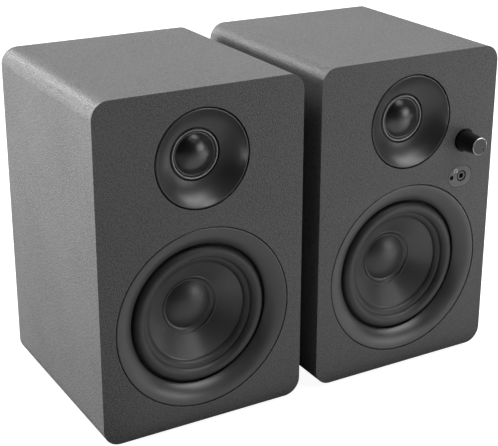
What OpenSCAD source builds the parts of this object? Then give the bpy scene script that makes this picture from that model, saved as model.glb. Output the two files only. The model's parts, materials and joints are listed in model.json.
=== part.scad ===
// A pair of powered two-way desktop speakers: a passive one on the left, and on the right the active one,
// which holds the amplifier, the volume knob and the headphone socket.
// Millimetres, +Z up. Each speaker faces -Y. The origin lies on the surface that they stand on, under the
// middle of the pair's bounding box. Inside a speaker's own modules x is counted from its centre, y is the
// depth behind its front face, and z is the height above its underside.

/* [Cabinet] */
// Width of each cabinet
cab_w = 134; // [130:1:150]
// Height of each cabinet, without its feet
cab_h = 210; // [206:1:230]
// Depth of each cabinet
cab_d = 140; // [136:1:200]
// Radius of the four long corners
corner_r = 10.5; // [5:0.5:14]
// Thickness of the side, top and bottom walls
wall_t = 9; // [6:0.5:10]
// Thickness of the front board
baffle_t = 15; // [13:0.5:15]
// Thickness of the rear board
rear_t = 9; // [6:0.5:10]
// Gap between the two cabinets
gap = 12.8; // [4:0.1:60]
// Height of the rubber feet
foot_h = 2; // [1:0.5:6]

/* [Woofer] */
// Height of the woofer's axis above the cabinet's underside
woofer_z = 68.2; // [67:0.1:70]
// Outer radius of the trim ring
trim_r = 57.1; // [56.6:0.1:58]
// Inner radius of the trim ring
trim_in_r = 45; // [44.5:0.1:46]
// Depth of the trim ring, and of the seat of the woofer's flange
trim_t = 7.2; // [7:0.1:8]

/* [Tweeter] */
// Height of the tweeter's axis above the cabinet's underside
tweeter_z = 167.7; // [160:0.1:168]
// Outer radius of the waveguide
guide_r = 29.9; // [29.3:0.1:30.1]
// Depth of the waveguide
guide_t = 12; // [12:0.5:12.5]
// Radius of the waveguide's throat
throat_r = 16.2; // [16:0.05:16.6]
// Radius of the soft dome
dome_r = 12.7; // [12.5:0.05:12.8]

/* [Controls] */
// How far the volume knob's face stands in front of the cabinet
knob_out = 16; // [12:0.5:20]
// Radius of the knob at its base
knob_r = 6.9; // [6:0.1:7.2]
// Angle of the knob's pointer at rest, clockwise from the top
knob_turn = 128.7; // [-150:0.1:150]
// Radius of the headphone socket's bore
jack_r = 1.8; // [1.78:0.01:1.82]

/* [Hidden] */
$fn = 96;

eps = 0.01; // makes joined shapes overlap a little
over = 1; // how far a cut runs past the face that it opens
fit_gap = 0.1; // between pieces of one assembly that only touch
run_gap = 0.05; // between a pin and the hole that it turns in
press_gap = 0.02; // between the volume shaft and the knob that is pressed on it

// Woofer, radii and depths behind the front face
trim_gap = 0.4;
trim_lip = 0.9;
trim_roll_r = 16; // the ring bulges, so it drops away steeply towards the surround
edge_round = 0.8; // radius of the front edge of the trim ring and of the waveguide
flange_r = 56;
flange_t = 2.4;
cutout_r = 50;
roll_y = trim_t + 1.2; // depth of the open side of the surround's roll
roll_mid_r = 39.5;
roll_r = 4;
ledge_y = trim_t + 2.8; // depth of the basket's ledge, which the surround is glued on
ledge_in_r = 44.6;
ledge_out_r = 49;
ledge_t = 1.2;
basket_t = 1.6;
basket_wall_r = 49.2;
basket_knee_y = 16;
hub_r = 18;
window_count = 6;
window_w = 26;
window_h = 12;
rubber_t = 0.8;
surround_in_r = 31.2;
surround_rise = 2.4; // depth between the outer and inner edges of the surround's inner flange
cone_slope = 0.78;
cone_t = 0.9;
cone_lip_r = 36;
cone_neck_r = 12.9;
cap_r = 15.6;
cap_h = 4.8;
cap_t = 0.6;
cap_flange = 1.1;
former_in_r = 12.5;
former_t = 0.25;
winding_t = 0.55;
winding_y = 36;
winding_h = 9;
former_y = 23.5;
spider_y = 31;
spider_t = 0.5;
spider_pitch = 3.2;
spider_waves = 5;
spider_out_r = 33.5;
shelf_in_r = 30;
shelf_wall_r = 36;
motor_y = 38;
top_plate_t = 5;
top_plate_r = 34;
woofer_gap_r = 13.8; // outer radius of the gap that the voice coil moves in
woofer_magnet_r = 35;
woofer_magnet_bore_r = 16;
woofer_magnet_h = 12;
yoke_r = 33;
yoke_t = 5;
pole_r = 12.2;
pole_drop = 0.5; // how far both poles' faces lie behind their plates' faces
bolt_circle_r = 52.4;

// Tweeter
guide_gap = 0.8;
guide_lip = 0.9;
guide_throat_y = 10;
guide_dish_r = 24;
guide_seat_r = 27;
guide_wall_t = 2.4; // measured along the depth
guide_foot_t = 3.3;
dome_y = 11.2;
dome_h = 5.2;
dome_t = 0.35;
dome_roll_r = 0.6;
dome_former_l = 6;
ring_r = 14.45;
ring_t = 0.9;
ring_y = 10.1;
tweeter_pole_r = 11.9;
tweeter_gap_r = 13.3;
tweeter_gap_deep = 9;
tweeter_plate_r = 24;
tweeter_plate_t = 3;
tweeter_magnet_r = 25.5;
tweeter_motor_h = 14;

// Rear of both speakers
port_z = 165;
port_r = 15;
port_t = 2;
port_flare = 4;
port_flange_r = 22;
port_len = 60;
plate_t = 2; // thickness of the amplifier's metal panel, and height of the port's flange
panel_w = 100;
panel_h = 112;
panel_r = 3;
panel_z = 68;
panel_cut_w = 86;
panel_cut_h = 98;
panel_screw_in = [4, 5];
terminal_w = 60;
terminal_h = 40;
terminal_r = 4;
terminal_t = 2.4;
terminal_body_w = 48;
terminal_body_h = 28;
terminal_deep = 20;
terminal_cut = 0.5; // clearance around the housing's body
terminal_screw_x = 26;
terminal_screw_z = 16;
pocket_w = 15;
pocket_h = 22;
pocket_deep = 11.6;
pocket_x = 12;
lever_w = 14.2;
lever_pivot_in = 6; // how far the levers' pivots lie inside the face that the housing is fixed to
lever_pivot_up = 7;
lever_boss_r = 2.6;
lever_pin_r = 1.3;
lever_pin_len = 1.3;
lever_out = 13;
lever_slope = 3;
lever_nose = 4;
wire_hole_r = 1.5;
wire_hole_l = 6;
wire_hole_z = -6;
left_terminal = [0, 60];
right_terminal = [-12, 98];
rca_x = 34;
rca_z = [90, 106];
rca_r = 4.15;
rca_len = 9;
rca_flange_r = 5.8;
rca_flange_t = 1.2;
rca_dish_r = 3.3;
rca_dish_deep = 0.6;
rca_bore_r = 1.65;
rca_body = [11, 12, 12];
switch_at = [-24, 42];
switch_w = 15;
switch_h = 21;
switch_t = 2;
switch_deep = 14;
switch_rim = 0.5; // how far the switch's bezel covers its cut-out
rocker_tilt = 8;
rocker_half = 8.4;
rocker_face = 4.9;
rocker_boss_r = 2.4;
rocker_in = 3; // how far the rocker's pivot lies inside the panel's face
rocker_pin_r = 1.2;
rocker_pin_len = 0.6;
rocker_w = 11;
rocker_gap = 0.3;
inlet_at = [20, 42];
inlet_face = [32, 18];
inlet_body = [26, 14];
inlet_socket = [16.4, 8.6];
inlet_pin_r = 1.18;
inlet_pin_x = 4.3;
board_y = 118;
board_t = 1.6;
board_w = 80;
board_h = 55;
board_z = 48.5;
standoff_x = 36;
standoff_z = [25, 70];
standoff_r = 2.5;

// Front of the right speaker
knob_x = 43.5;
knob_z = 149.2;
knob_face_r = 5.7;
knob_chamfer = 0.4;
knob_sink = 0.8; // how far the knob's base reaches into its recess
knob_skin = 5; // thickness of the knob in front of its shaft
dimple_r = 0.45;
dimple_deep = 0.5;
dimple_out = 3.85;
recess_r = 7.8;
recess_t = 1.5;
shaft_r = 3;
shaft_in = 6;
bush_r = 4.2;
pot_r = 8.5;
pot_h = 8.5;
pot_cap_t = 1.5;
plate_at = [41.8, 124.6];
plate_w = 18.7;
plate_h = 14.2;
control_t = 2;
plate_gap = 0.3;
jack_at = [43.1, 124.8];
jack_nose_r = 2.9;
jack_nose_y = 0.3;
jack_hole_r = 3.75;
jack_bore_l = 21;
jack_body = [10, 13, 11];
led_at = [34.9, 124.6];
led_r = 1.4;
led_y = 1.2;

// Screws, all alike
screw_head_r = 3.4;
screw_r = 1.9;
screw_head_h = 1.5;
screw_len = 16;
screw_tip_h = 2;
screw_tip_r = 0.5;
cross_l = 3.8;
cross_w = 0.8;
cross_deep = 1.1;

rear_out = plate_t + rca_len;
front_y = knob_out - (knob_out + cab_d + rear_out) / 2;
inner_w = cab_w - 2 * wall_t;
inner_h = cab_h - 2 * wall_t;
inner_r = 2;

// Depth of the cone's front surface at a radius
cone_edge_y = roll_y + surround_rise + fit_gap;
function cone_y(r) = cone_edge_y + (surround_in_r - r) * cone_slope;

// Centre of the arc of radius r from p to q that bulges to the right of the way from p to q
function arc_centre(p, q, r) =
    let (d = q - p, l = norm(d))
    (p + q) / 2 + sqrt(r * r - l * l / 4) * [-d[1], d[0]] / l;

// Radius of a sphere that has a cap of height h on a rim of radius r
function cap_sphere_r(r, h) = (r * r + h * h) / (2 * h);

// Puts a speaker's piece in its place: side is -1 for the left speaker and 1 for the right one
module at_side(side) translate([side * (cab_w + gap) / 2, front_y, foot_h]) children();

// Extrudes an outline drawn in x and z from depth y, t deep
module slab(y, t) translate([0, y + t, 0]) rotate([90, 0, 0]) linear_extrude(t) children();

// Turns a profile of [radius, depth] about an axis along the depth
module turned(x, z) translate([x, 0, z]) rotate([-90, 0, 0]) rotate_extrude() children();

// A round bar along the depth
module bar(x, z, r, y, t) translate([x, y, z]) rotate([-90, 0, 0]) cylinder(h = t, r = r);

// A rectangle of radii and depths, for turned profiles
module band(r1, r2, y1, y2) translate([r1, y1]) square([r2 - r1, y2 - y1]);

// Cut from a turned profile, it rounds the outer front edge at radius r
module front_edge(r) {
    difference() {
        band(r - edge_round, r + over, -over, edge_round);
        translate([r - edge_round, edge_round]) circle(edge_round);
    }
}

module round_rect(w, h, r) {
    square([w - 2 * r, h], center = true);
    square([w, h - 2 * r], center = true);
    for (x = [-1, 1], y = [-1, 1])
        translate([x * (w / 2 - r), y * (h / 2 - r)]) circle(r);
}

module stadium(w, h) {
    square([w - h, h], center = true);
    for (x = [-1, 1])
        translate([x * (w - h) / 2, 0]) circle(h / 2);
}

module box_at(x, y, z, size) translate([x - size[0] / 2, y, z - size[2] / 2]) cube(size);

// ---- Screws ----

module screw() {
    difference() {
        union() {
            cylinder(h = screw_head_h, r1 = screw_head_r, r2 = screw_r);
            cylinder(h = screw_len - screw_tip_h, r = screw_r);
            translate([0, 0, screw_len - screw_tip_h])
                cylinder(h = screw_tip_h, r1 = screw_r, r2 = screw_tip_r);
        }
        for (a = [0, 90])
            rotate([0, 0, a])
                translate([-cross_l / 2, -cross_w / 2, -eps]) cube([cross_l, cross_w, cross_deep]);
    }
}

// The hole that a screw passes through, with its countersink at z = 0
module screw_hole(depth) {
    translate([0, 0, -eps]) cylinder(h = depth + 2 * eps, r = screw_r + fit_gap);
    cylinder(h = screw_head_h, r1 = screw_head_r + fit_gap, r2 = screw_r + fit_gap);
}

module at_woofer_screws() {
    for (a = [45:90:315])
        translate([bolt_circle_r * cos(a), trim_t, woofer_z + bolt_circle_r * sin(a)])
            rotate([-90, 0, 0]) children();
}

module at_panel_screws() {
    for (x = [-1, 1], z = [-1, 0, 1])
        translate([
            x * (panel_w / 2 - panel_screw_in[0]),
            cab_d + plate_t,
            panel_z + z * (panel_h / 2 - panel_screw_in[1])
        ])
            rotate([90, 0, 0]) children();
}

module terminal_cutout(at)
    translate(at)
        square([terminal_body_w + 2 * terminal_cut, terminal_body_h + 2 * terminal_cut], center = true);

// Screws of a terminal housing centred at [x, z] on a face at depth y
module at_terminal_screws(at, y) {
    for (x = [-1, 1], z = [-1, 1])
        translate([at[0] + x * terminal_screw_x, y + terminal_t, at[1] + z * terminal_screw_z])
            rotate([90, 0, 0]) children();
}

// ---- Cabinet ----

module cabinet_outline() translate([0, cab_h / 2]) round_rect(cab_w, cab_h, corner_r);

module cabinet_shell() {
    color("#2b2b2c")
    difference() {
        slab(baffle_t, cab_d - baffle_t) cabinet_outline();
        slab(baffle_t - over, cab_d - baffle_t + 2 * over)
            translate([0, cab_h / 2]) round_rect(inner_w, inner_h, inner_r);
    }
}

module front_baffle() {
    color("#29292a")
    difference() {
        slab(0, baffle_t) cabinet_outline();
        bar(0, woofer_z, trim_r + trim_gap, -over, trim_t + over);
        bar(0, woofer_z, flange_r + 3 * fit_gap, 0, trim_t + flange_t);
        bar(0, woofer_z, cutout_r, 0, baffle_t + over);
        at_woofer_screws() cylinder(h = screw_len, r = screw_r + fit_gap);
        bar(0, tweeter_z, guide_r + guide_gap, -over, guide_t + over);
        bar(0, tweeter_z, guide_seat_r, 0, baffle_t + over);
    }
}

module right_front_baffle() {
    color("#29292a")
    difference() {
        front_baffle();
        bar(knob_x, knob_z, recess_r, -over, recess_t + over);
        bar(knob_x, knob_z, bush_r + fit_gap, 0, baffle_t + over);
        slab(-over, control_t + over)
            translate(plate_at) stadium(plate_w + 2 * plate_gap, plate_h + 2 * plate_gap);
        bar(jack_at[0], jack_at[1], jack_hole_r, 0, baffle_t + over);
        bar(led_at[0], led_at[1], led_r + 2 * fit_gap, 0, baffle_t + over);
    }
}

module rear_board() {
    slab(cab_d - rear_t, rear_t)
        translate([0, cab_h / 2]) round_rect(inner_w - 2 * fit_gap, inner_h - 2 * fit_gap, inner_r);
}

module port_hole()
    bar(0, port_z, port_r + port_flare + 2 * fit_gap, cab_d - rear_t - over, rear_t + 2 * over);

module left_rear_panel() {
    color("#262627")
    difference() {
        rear_board();
        port_hole();
        slab(cab_d - rear_t - over, rear_t + 2 * over) terminal_cutout(left_terminal);
        at_terminal_screws(left_terminal, cab_d) cylinder(h = screw_len, r = screw_r + fit_gap);
    }
}

module right_rear_panel() {
    color("#262627")
    difference() {
        rear_board();
        port_hole();
        slab(cab_d - rear_t - over, rear_t + 2 * over)
            translate([0, panel_z]) square([panel_cut_w, panel_cut_h], center = true);
        at_panel_screws() cylinder(h = screw_len, r = screw_r + fit_gap);
    }
}

module rubber_feet() {
    foot_r = 7;
    foot_in = [18, 20]; // how far the feet's centres lie from the cabinet's sides and from its front and back
    color("#151515")
    for (x = [-1, 1], y = [foot_in[1], cab_d - foot_in[1]])
        translate([x * (cab_w / 2 - foot_in[0]), y, -foot_h]) cylinder(h = foot_h, r = foot_r);
}

module bass_port() {
    mouth_y = cab_d + plate_t;
    color("#1c1c1d")
    turned(0, port_z) {
        band(port_r, port_r + port_t, mouth_y - port_len, mouth_y - port_flare);
        intersection() {
            band(port_r, port_r + port_flare, mouth_y - port_flare, mouth_y);
            translate([port_r + port_flare, mouth_y - port_flare]) circle(port_flare);
        }
        band(port_r + port_flare, port_flange_r, cab_d, mouth_y);
    }
}

// ---- Tweeter ----

module tweeter_waveguide() {
    rim = [guide_r - guide_lip, 0];
    throat = [throat_r, guide_throat_y];
    centre = arc_centre(rim, throat, guide_dish_r);
    hollow_in_r = throat_r + guide_foot_t;
    hollow_out_r = guide_r - guide_foot_t;
    function hollow_y(r) = centre[1] + sqrt(pow(guide_dish_r, 2) - pow(r - centre[0], 2)) + guide_wall_t;
    color("#2e2e2f")
    turned(0, tweeter_z)
    difference() {
        band(throat_r, guide_r, 0, guide_t);
        translate(centre) circle(guide_dish_r);
        front_edge(guide_r);
        polygon([
            [hollow_in_r, guide_t + over], [hollow_in_r, hollow_y(hollow_in_r)],
            [hollow_out_r, hollow_y(hollow_out_r)], [hollow_out_r, guide_t + over]
        ]);
    }
}

module tweeter_ring() {
    color("#8f9092")
    turned(0, tweeter_z) {
        band(ring_r - ring_t / 2, ring_r + ring_t / 2, ring_y, guide_t);
        translate([ring_r, ring_y]) circle(ring_t / 2);
    }
}

module tweeter_diaphragm() {
    sphere_r = cap_sphere_r(dome_r, dome_h);
    sphere_y = dome_y - dome_h + sphere_r;
    roll_at = [dome_r - dome_t + dome_roll_r, dome_y];
    color("#1a1a1b")
    turned(0, tweeter_z) {
        difference() {
            intersection() {
                translate([0, sphere_y]) circle(sphere_r);
                band(0, dome_r, 0, dome_y);
            }
            translate([0, sphere_y]) circle(sphere_r - dome_t);
        }
        intersection() {
            translate(roll_at) difference() {
                circle(dome_roll_r);
                circle(dome_roll_r - dome_t);
            }
            band(0, ring_r, 0, dome_y);
        }
        band(dome_r - dome_t, dome_r, dome_y - dome_t, dome_y + dome_former_l);
    }
}

module tweeter_magnet() {
    front = guide_t;
    back = guide_t + tweeter_motor_h;
    gap_end = front + tweeter_gap_deep;
    color("#202022")
    turned(0, tweeter_z) polygon([
        [0, front + pole_drop], [tweeter_pole_r, front + pole_drop], [tweeter_pole_r, gap_end],
        [tweeter_gap_r, gap_end], [tweeter_gap_r, front], [tweeter_plate_r, front],
        [tweeter_plate_r, front + tweeter_plate_t], [tweeter_magnet_r, front + tweeter_plate_t],
        [tweeter_magnet_r, back - tweeter_plate_t], [tweeter_plate_r, back - tweeter_plate_t],
        [tweeter_plate_r, back], [0, back]
    ]);
}

// ---- Woofer ----

module woofer_trim_ring() {
    rim = [trim_r - trim_lip, 0];
    inner = [trim_in_r, trim_t - 0.5];
    color("#2c2c2d")
    turned(0, woofer_z)
    difference() {
        intersection() {
            band(trim_in_r, trim_r, 0, trim_t);
            translate(arc_centre(inner, rim, trim_roll_r)) circle(trim_roll_r);
        }
        front_edge(trim_r);
    }
}

module woofer_basket() {
    flange_y = trim_t + flange_t;
    ledge_back = ledge_y + ledge_t;
    shelf_y = spider_y + spider_t / 2;
    inner_wall_r = shelf_wall_r - basket_t;
    color("#1f1f20")
    difference() {
        turned(0, woofer_z) polygon([
            [flange_r, trim_t], [flange_r, flange_y], [basket_wall_r, flange_y],
            [basket_wall_r, basket_knee_y], [shelf_wall_r, spider_y - 1], [shelf_wall_r, motor_y],
            [hub_r, motor_y], [hub_r, motor_y - basket_t],
            [inner_wall_r, motor_y - basket_t], [inner_wall_r, shelf_y + basket_t],
            [shelf_in_r, shelf_y + basket_t], [shelf_in_r, shelf_y], [inner_wall_r, shelf_y],
            [inner_wall_r, spider_y - 1], [basket_wall_r - basket_t, basket_knee_y],
            [basket_wall_r - basket_t, ledge_back], [ledge_in_r, ledge_back], [ledge_in_r, ledge_y],
            [ledge_out_r, ledge_y], [ledge_out_r, trim_t]
        ]);
        for (i = [0:window_count - 1])
            translate([0, basket_knee_y + 1, woofer_z]) rotate([0, (i + 0.5) * 360 / window_count, 0])
                translate([hub_r, 0, -window_w / 2]) cube([flange_r - hub_r, window_h, window_w]);
        at_woofer_screws() screw_hole(flange_t);
    }
}

module woofer_surround() {
    foot_r = roll_mid_r - roll_r + rubber_t / 2; // where the inner flange ends, inside the roll's wall
    roll_out_r = roll_mid_r + roll_r;
    flange_out_r = ledge_out_r - 0.4;
    color("#19191a") {
        turned(0, woofer_z) intersection() {
            translate([roll_mid_r, roll_y]) difference() {
                circle(roll_r);
                circle(roll_r - rubber_t);
            }
            band(0, trim_r, 0, roll_y);
        }
        turned(0, woofer_z) polygon([
            [roll_out_r - rubber_t, roll_y], [roll_out_r, roll_y], [roll_out_r, ledge_y - rubber_t],
            [flange_out_r, ledge_y - rubber_t], [flange_out_r, ledge_y], [roll_out_r - rubber_t, ledge_y]
        ]);
        turned(0, woofer_z) polygon([
            [foot_r, roll_y - rubber_t], [surround_in_r, roll_y + surround_rise - rubber_t],
            [surround_in_r, roll_y + surround_rise], [foot_r, roll_y]
        ]);
    }
}

module woofer_cone() {
    roll_in_r = roll_mid_r - roll_r + rubber_t;
    lip_y = roll_y + 2 * fit_gap + surround_rise * (roll_in_r - cone_lip_r) / (roll_in_r - surround_in_r);
    color("#242425")
    turned(0, woofer_z) polygon([
        [cone_lip_r, lip_y], [surround_in_r, cone_edge_y], [cone_neck_r, cone_y(cone_neck_r)],
        [cone_neck_r, cone_y(cone_neck_r) + cone_t], [surround_in_r, cone_edge_y + cone_t],
        [cone_lip_r, lip_y + cone_t]
    ]);
}

module woofer_dust_cap() {
    rim_y = cone_y(cap_r) - cap_t - fit_gap;
    sphere_r = cap_sphere_r(cap_r, cap_h);
    sphere_y = rim_y - cap_h + sphere_r;
    flange_in_r = cap_r - cap_t;
    flange_out_r = cap_r + cap_flange;
    color("#222223")
    turned(0, woofer_z) {
        difference() {
            intersection() {
                translate([0, sphere_y]) circle(sphere_r);
                band(0, cap_r, 0, rim_y);
            }
            translate([0, sphere_y]) circle(sphere_r - cap_t);
        }
        polygon([
            [flange_in_r, cone_y(flange_in_r) - cap_t - 0.6], [flange_out_r, cone_y(flange_out_r) - cap_t],
            [flange_out_r, cone_y(flange_out_r) - fit_gap], [flange_in_r, cone_y(flange_in_r) - fit_gap]
        ]);
    }
}

module woofer_voice_coil() {
    former_r = former_in_r + former_t;
    color("#b0703a")
    turned(0, woofer_z) {
        band(former_in_r, former_r, former_y, winding_y + winding_h);
        band(former_r - eps, former_r + winding_t, winding_y, winding_y + winding_h);
    }
}

module woofer_spider() {
    foot_r = former_in_r + former_t + 0.2 + spider_t / 2;
    out_foot_r = foot_r + spider_waves * spider_pitch;
    color("#c9a45c")
    turned(0, woofer_z) {
        band(foot_r - spider_t / 2, foot_r + spider_t / 2, spider_y - 1.5, spider_y);
        for (i = [0:spider_waves - 1])
            translate([foot_r + (i + 0.5) * spider_pitch, spider_y])
                intersection() {
                    difference() {
                        circle((spider_pitch + spider_t) / 2);
                        circle((spider_pitch - spider_t) / 2);
                    }
                    translate([-spider_pitch, i % 2 == 0 ? -spider_pitch : 0])
                        square([2 * spider_pitch, spider_pitch]);
                }
        band(out_foot_r - spider_t / 2, spider_out_r, spider_y - spider_t / 2, spider_y + spider_t / 2);
    }
}

module woofer_top_plate() {
    color("#7d7f83")
    turned(0, woofer_z) band(woofer_gap_r, top_plate_r, motor_y, motor_y + top_plate_t);
}

module woofer_magnet() {
    front = motor_y + top_plate_t;
    color("#3a3a3d")
    turned(0, woofer_z) band(woofer_magnet_bore_r, woofer_magnet_r, front, front + woofer_magnet_h);
}

module woofer_pole_piece() {
    yoke_y = motor_y + top_plate_t + woofer_magnet_h;
    color("#7d7f83")
    turned(0, woofer_z) {
        band(0, pole_r, motor_y + pole_drop, yoke_y);
        band(0, yoke_r, yoke_y, yoke_y + yoke_t);
    }
}

// ---- Speaker wire terminals ----

// The housing, centred at [x, z] on a face at depth y
module terminal_housing(at, y) {
    pivot_l = lever_w + 2 * lever_pin_len + 8 * fit_gap;
    color("#1a1a1b")
    difference() {
        union() {
            slab(y, terminal_t) translate(at) round_rect(terminal_w, terminal_h, terminal_r);
            slab(y - terminal_deep, terminal_deep + eps)
                translate(at) square([terminal_body_w, terminal_body_h], center = true);
        }
        for (x = [-1, 1]) {
            box_at(
                at[0] + x * pocket_x, y - pocket_deep, at[1],
                [pocket_w, pocket_deep + terminal_t + over, pocket_h]
            );
            bar(
                at[0] + x * pocket_x, at[1] + wire_hole_z, wire_hole_r,
                y - pocket_deep - wire_hole_l, wire_hole_l + over
            );
            translate([at[0] + x * pocket_x, y - lever_pivot_in, at[1] + lever_pivot_up]) rotate([0, 90, 0])
                cylinder(h = pivot_l, r = lever_pin_r + run_gap, center = true);
        }
        at_terminal_screws(at, y) screw_hole(terminal_t);
    }
}

// One lever: side is 1 for the one at larger x
module terminal_lever(at, y, side) {
    translate([at[0] + side * pocket_x, y - lever_pivot_in, at[1] + lever_pivot_up]) {
        rotate([90, 0, 90]) translate([0, 0, -lever_w / 2]) linear_extrude(lever_w) {
            circle(lever_boss_r);
            polygon([
                [0, lever_boss_r], [lever_out - lever_slope, lever_boss_r], [lever_out, -1],
                [lever_out, -lever_nose], [lever_out - lever_nose, -lever_nose], [0, -lever_boss_r]
            ]);
        }
        rotate([0, 90, 0]) cylinder(h = lever_w + 2 * lever_pin_len, r = lever_pin_r, center = true);
    }
}

module left_crossover_board() {
    board = [50, 44];
    capacitor_r = 7;
    capacitor_l = 30;
    coil_r = 10;
    coil_bore_r = 4.5;
    coil_h = 11;
    color("#3d5a3a")
    translate([0, 75, wall_t]) {
        translate([-board[0] / 2, 0, 0]) cube([board[0], board[1], board_t]);
        translate([-capacitor_l / 2, 12, board_t + capacitor_r - eps]) rotate([0, 90, 0])
            cylinder(h = capacitor_l, r = capacitor_r);
        translate([0, board[1] - coil_r - 2, board_t - eps]) difference() {
            cylinder(h = coil_h, r = coil_r);
            translate([0, 0, 1]) cylinder(h = coil_h, r = coil_bore_r);
        }
    }
}

// ---- Controls on the right speaker's front ----

module volume_knob() {
    face_y = -knob_out;
    bore_r = shaft_r + press_gap;
    color("#161617")
    difference() {
        turned(knob_x, knob_z) polygon([
            [0, face_y], [knob_face_r - knob_chamfer, face_y], [knob_face_r, face_y + knob_chamfer],
            [knob_r, knob_sink], [bore_r, knob_sink], [bore_r, face_y + knob_skin], [0, face_y + knob_skin]
        ]);
        translate([knob_x, 0, knob_z]) rotate([0, knob_turn, 0]) translate([0, face_y - over, dimple_out])
            rotate([-90, 0, 0]) cylinder(h = dimple_deep + over, r = dimple_r);
    }
}

module volume_shaft() {
    tip_y = knob_skin + 2 * fit_gap - knob_out;
    color("#a8aaad") bar(knob_x, knob_z, shaft_r, tip_y, baffle_t + shaft_in - tip_y);
}

module volume_pot() {
    cap_y = baffle_t + pot_h - pot_cap_t;
    color("#6f7174")
    turned(knob_x, knob_z) {
        band(shaft_r + run_gap, bush_r, recess_t + 0.5, baffle_t + eps);
        band(shaft_r + run_gap, pot_r, baffle_t, cap_y);
        band(0, pot_r, cap_y - eps, cap_y + pot_cap_t);
    }
}

module control_plate() {
    color("#2a2a2b")
    difference() {
        slab(0, control_t) translate(plate_at) stadium(plate_w, plate_h);
        bar(jack_at[0], jack_at[1], jack_hole_r, -over, control_t + 2 * over);
        bar(led_at[0], led_at[1], led_r + fit_gap, -over, control_t + 2 * over);
    }
}

module headphone_jack() {
    color("#4a4b4d")
    difference() {
        union() {
            bar(jack_at[0], jack_at[1], jack_nose_r, jack_nose_y, baffle_t);
            box_at(jack_at[0], baffle_t, jack_at[1], jack_body);
        }
        bar(jack_at[0], jack_at[1], jack_r, jack_nose_y - over, jack_bore_l + over);
    }
}

module led_lens() {
    color("#3b3d40") bar(led_at[0], led_at[1], led_r, led_y, baffle_t + 2 - led_y);
}

// ---- Amplifier on the right speaker's back ----

module rca_seats(r, y, t) {
    for (z = rca_z)
        bar(rca_x, z, r, y, t);
}

module amp_panel() {
    color("#1d1d1e")
    difference() {
        slab(cab_d, plate_t) translate([0, panel_z]) round_rect(panel_w, panel_h, panel_r);
        slab(cab_d - over, plate_t + 2 * over) {
            terminal_cutout(right_terminal);
            translate(switch_at) square([switch_w - 2 * switch_rim, switch_h - 2 * switch_rim], center = true);
            translate(inlet_at) square(inlet_body + [4 * fit_gap, 4 * fit_gap], center = true);
        }
        rca_seats(rca_r + fit_gap, cab_d - over, plate_t + 2 * over);
        at_panel_screws() screw_hole(plate_t);
        at_terminal_screws(right_terminal, cab_d + plate_t) cylinder(h = screw_len, r = screw_r + fit_gap);
    }
}

module rca_jacks() {
    outer_y = cab_d + plate_t;
    body_lap = 2; // how far the sockets' bodies and barrels overlap
    color("#c9ccd0")
    difference() {
        union() {
            rca_seats(rca_r, cab_d - body_lap, rca_len + plate_t + body_lap);
            rca_seats(rca_flange_r, outer_y, rca_flange_t);
            for (z = rca_z)
                box_at(rca_x, cab_d - rca_body[1], z, rca_body);
        }
        rca_seats(rca_dish_r, outer_y + rca_len - rca_dish_deep, rca_dish_deep + over);
        rca_seats(rca_bore_r, outer_y - body_lap, rca_len + body_lap + over);
    }
}

module power_switch_housing() {
    outer_y = cab_d + plate_t;
    pocket_deep = 8;
    wall = 1.2;
    color("#161616")
    difference() {
        union() {
            slab(outer_y, switch_t)
                translate(switch_at) round_rect(switch_w + 2 * switch_rim, switch_h + 2 * switch_rim, wall);
            slab(outer_y - switch_deep, switch_deep + eps)
                translate(switch_at) square([switch_w - wall, switch_h - wall], center = true);
        }
        box_at(
            switch_at[0], outer_y - pocket_deep, switch_at[1],
            [rocker_w + 2 * rocker_gap, pocket_deep + switch_t + over, switch_h - 2 * wall]
        );
        translate([switch_at[0], outer_y - rocker_in, switch_at[1]]) rotate([0, 90, 0]) cylinder(
            h = rocker_w + 2 * (rocker_gap + rocker_pin_len), r = rocker_pin_r + run_gap, center = true
        );
    }
}

module power_rocker() {
    end_y = rocker_face + rocker_half * sin(rocker_tilt);
    color("#101010")
    translate([switch_at[0], cab_d + plate_t - rocker_in, switch_at[1]]) rotate([rocker_tilt, 0, 0]) {
        rotate([90, 0, 90]) translate([0, 0, -rocker_w / 2]) linear_extrude(rocker_w) {
            circle(rocker_boss_r);
            polygon([
                [1, -rocker_half], [end_y, -rocker_half], [rocker_face, 0],
                [end_y, rocker_half], [1, rocker_half], [-1.5, 0]
            ]);
        }
        rotate([0, 90, 0]) cylinder(
            h = rocker_w + 2 * (rocker_gap + rocker_pin_len) - 3 * fit_gap, r = rocker_pin_r, center = true
        );
    }
}

module power_inlet() {
    outer_y = cab_d + plate_t;
    bezel_t = 2.5;
    bezel_r = 3;
    body_deep = 16;
    socket_deep = 14;
    pin_l = 10;
    floor_y = outer_y + bezel_t - socket_deep;
    color("#141414")
    union() {
        difference() {
            union() {
                slab(outer_y, bezel_t) translate(inlet_at) round_rect(inlet_face[0], inlet_face[1], bezel_r);
                slab(outer_y - body_deep, body_deep + eps)
                    translate(inlet_at) square(inlet_body, center = true);
            }
            slab(floor_y, socket_deep + over) translate(inlet_at) stadium(inlet_socket[0], inlet_socket[1]);
        }
        for (x = [-1, 1])
            bar(inlet_at[0] + x * inlet_pin_x, inlet_at[1], inlet_pin_r, floor_y - eps, pin_l);
    }
}

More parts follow.
